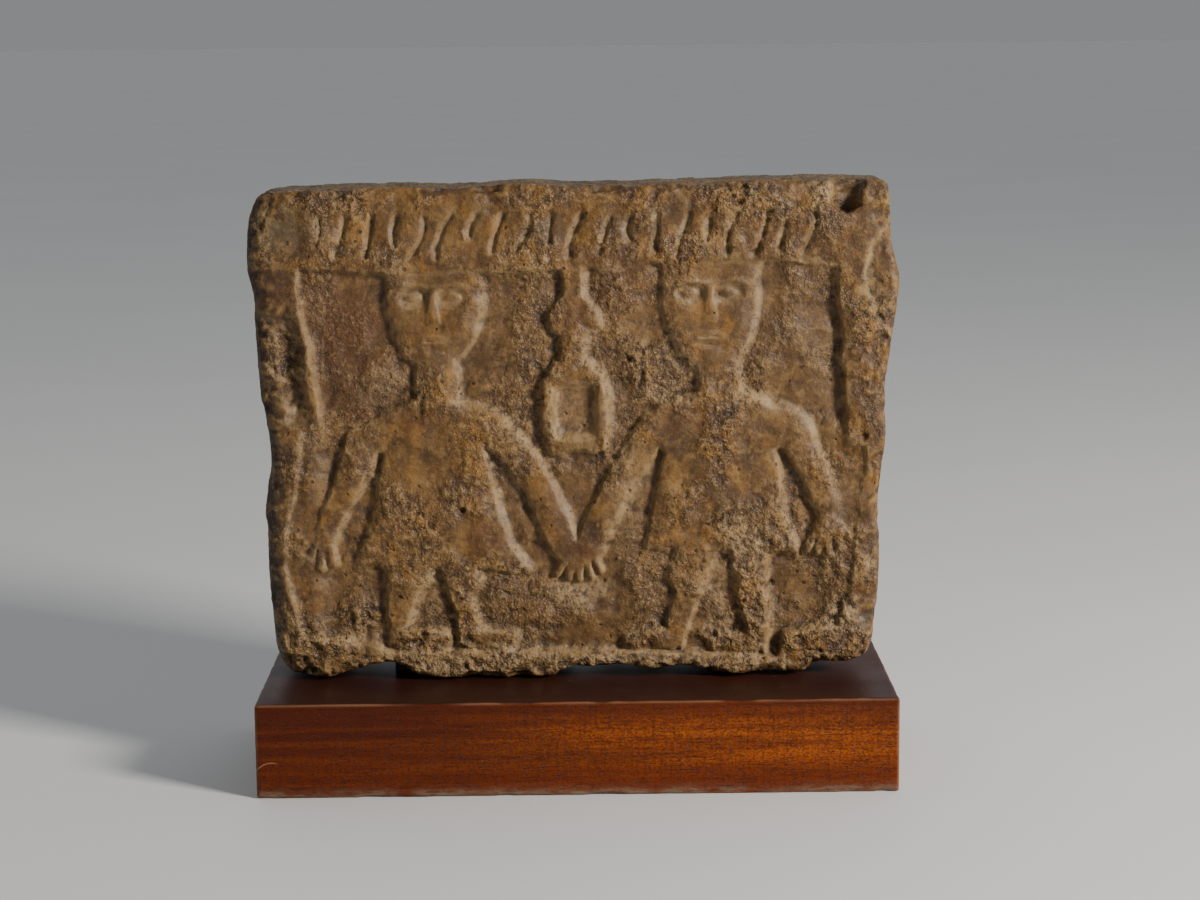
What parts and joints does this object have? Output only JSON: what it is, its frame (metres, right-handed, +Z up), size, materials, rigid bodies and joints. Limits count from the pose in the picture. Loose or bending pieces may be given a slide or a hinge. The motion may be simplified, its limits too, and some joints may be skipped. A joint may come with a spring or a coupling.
{
  "type": "carved stone stele on a plinth",
  "caption": "Oblong stone slab carved in low relief with two standing figures hand in hand and a vessel between them, held on pegs over a mahogany plinth.",
  "frame": {"origin": "middle of the plinth's underside", "axes": "+Z up, the carved face looks along -Y, and +X runs to the viewer's right along the plinth's length"},
  "size_m": [0.3068, 0.132, 0.2829],
  "materials": {
    "stone": "rough, weathered",
    "mahogany": "polished, worn along its edges",
    "peg": "dull black"
  },
  "bodies": {
    "root": {"stele": "stone", "plinth": "mahogany", "support_peg_left": "peg", "support_peg_right": "peg"}
  },
  "joints": []
}
